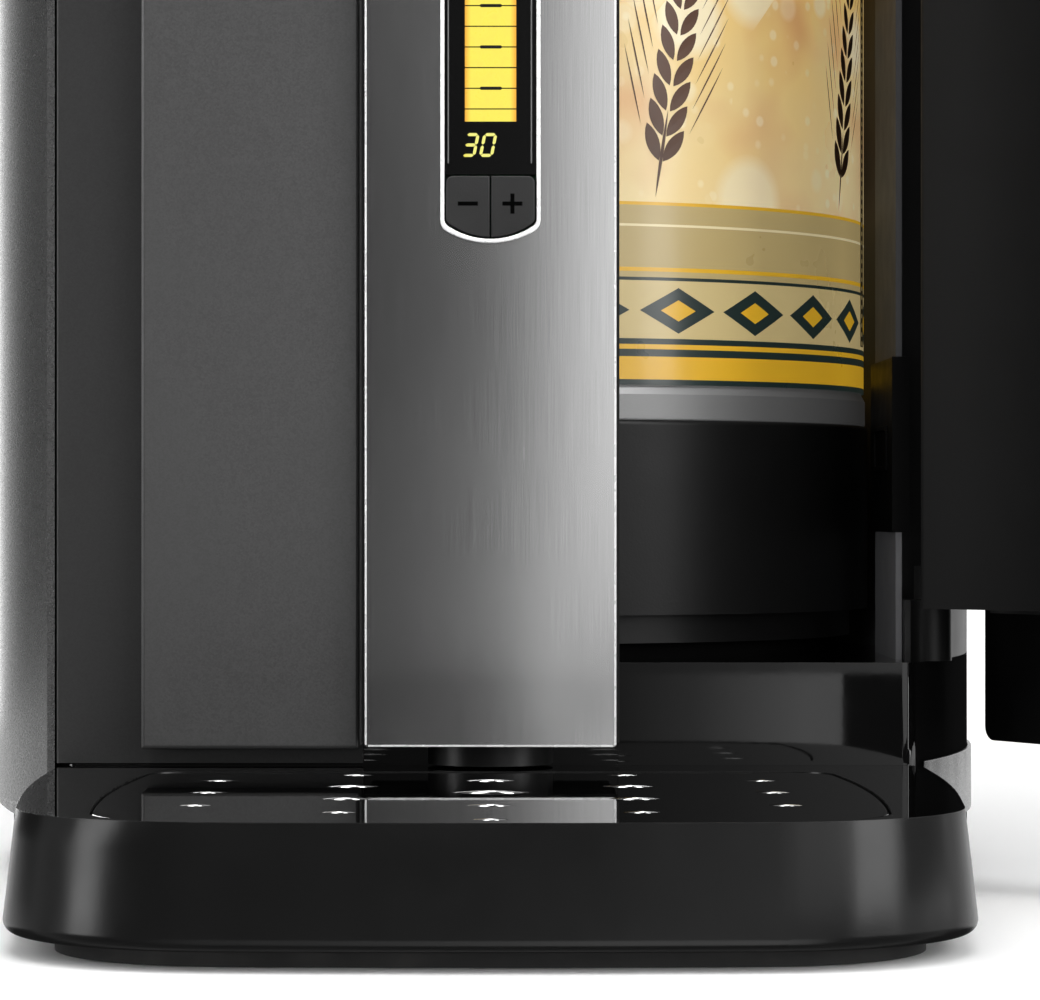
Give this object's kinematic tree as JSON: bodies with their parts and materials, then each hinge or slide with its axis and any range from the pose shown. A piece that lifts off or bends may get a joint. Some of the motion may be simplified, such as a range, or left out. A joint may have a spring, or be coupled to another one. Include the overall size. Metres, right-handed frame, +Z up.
{
  "type": "mini keg beer dispenser",
  "caption": "Counter-top cooled dispenser for a small party keg, with an open side door, front column with display and tap, drip tray and rear-hinged lid.",
  "frame": {"origin": "point on the counter under the keg's axis, level with the undersides of the foot pads", "axes": "+Z up along the keg's axis, +Y towards the back of the appliance, -Y towards the person who draws the beer, +X to that person's right"},
  "size_m": [0.3023, 0.4951, 0.444],
  "materials": {
    "black_satin_plastic": "satin",
    "black_gloss_plastic": "polished",
    "grey_metallic_shell": "metallic paint",
    "grey_wing_metal": "satin",
    "brushed_sheet": "brushed upright",
    "chrome_trim": "polished",
    "grey_liner_plastic": "satin",
    "white_foam": "foam",
    "aluminium_plain": "milled",
    "rubber_black": "matt",
    "keg_metal": "satin",
    "keg_label_print": "gloss print",
    "ceramic_white": "plain",
    "board_green": "solder mask",
    "display_glass": "polished",
    "key_plastic": "satin",
    "clear_tube": "translucent",
    "steel_plain": "plain",
    "white_plastic": "satin"
  },
  "bodies": {
    "housing": {"air_hose": "clear_tube", "air_pump": "black_satin_plastic", "base_housing": "black_gloss_plastic", "beer_tube": "clear_tube", "carcass": "black_satin_plastic", "chamber_insulation": "white_foam", "chamber_liner": "grey_liner_plastic", "cold_plate": "aluminium_plain", "column_back": "black_satin_plastic", "column_frame": "black_satin_plastic", "column_panel": "brushed_sheet", "control_board": "board_green", "display_bezel": "chrome_trim", "display_board": "board_green", "display_window": "display_glass", "fan_frame": "black_satin_plastic", "fan_screws": "steel_plain", "floor_plate": "black_satin_plastic", "floor_screws": "steel_plain", "foot_pads": "rubber_black", "front_frame": "black_satin_plastic", "heat_sink": "aluminium_plain", "hinge_brackets": "black_satin_plastic", "hinge_pins": "steel_plain", "keg_coupler": "white_plastic", "keg_cup": "black_satin_plastic", "keg_label": "keg_label_print", "keg_shell": "keg_metal", "keg_top_ring": "black_satin_plastic", "keg_valve": "white_plastic", "left_side_shell": "grey_metallic_shell", "left_wing": "grey_wing_metal", "lever_pin": "steel_plain", "lid_hinge_pins": "steel_plain", "peltier_module": "ceramic_white", "power_inlet": "black_satin_plastic", "power_supply": "black_satin_plastic", "rear_cover": "black_satin_plastic", "rear_deck": "black_satin_plastic", "right_side_shell": "grey_metallic_shell", "right_sill": "grey_metallic_shell", "tap_body": "chrome_trim", "tap_spout": "chrome_trim", "top_rim": "black_satin_plastic"},
    "door": {"door_panel": "black_satin_plastic", "door_cover": "grey_wing_metal", "door_liner": "black_satin_plastic", "door_insulation": "white_foam", "door_seal": "rubber_black"},
    "lid": {"lid_shell": "black_satin_plastic", "lid_liner": "grey_liner_plastic", "lid_insulation": "white_foam"},
    "tray": {"drip_tray": "black_satin_plastic", "tray_foot": "rubber_black"},
    "tray_plate": {"drip_plate": "black_gloss_plastic"},
    "lever": {"tap_handle": "black_gloss_plastic"},
    "spool": {"valve_spool": "steel_plain"},
    "minus_button": {"minus_key": "key_plastic"},
    "plus_button": {"plus_key": "key_plastic"},
    "rotor": {"fan_rotor": "black_satin_plastic"}
  },
  "joints": [
    {"name": "door_swing", "type": "hinge", "parent": "housing", "child": "door", "pos_m": [0.1075, -0.093, 0.2], "axis": [0, 0, 1], "range_deg": [-119, 0]},
    {"name": "lid_lift", "type": "hinge", "parent": "housing", "child": "lid", "pos_m": [0, 0.124, 0.394], "axis": [-1, 0, 0], "range_deg": [0, 95]},
    {"name": "tray_slide", "type": "slide", "parent": "housing", "child": "tray", "axis": [0, -1, 0], "range_m": [0, 0.2]},
    {"name": "plate_lift", "type": "slide", "parent": "tray", "child": "tray_plate", "axis": [0, 0, 1], "range_m": [0, 0.12]},
    {"name": "lever_pull", "type": "hinge", "parent": "housing", "child": "lever", "pos_m": [0, -0.168, 0.384], "axis": [1, 0, 0], "range_deg": [0, 40]},
    {"name": "valve_lift", "type": "slide", "parent": "housing", "child": "spool", "axis": [0, 0, 1], "range_m": [0, 0.0035]},
    {"name": "minus_press", "type": "slide", "parent": "housing", "child": "minus_button", "axis": [0, 1, 0], "range_m": [0, 0.0008], "stiffness_N_per_m": 900},
    {"name": "plus_press", "type": "slide", "parent": "housing", "child": "plus_button", "axis": [0, 1, 0], "range_m": [0, 0.0008], "stiffness_N_per_m": 900},
    {"name": "fan_spin", "type": "hinge", "parent": "housing", "child": "rotor", "pos_m": [0, 0.1665, 0.195], "axis": [0, 1, 0], "continuous": true}
  ],
  "couplings": [
    {"joint": "valve_lift", "follows": "lever_pull", "m_per_rad": 0.005}
  ]
}
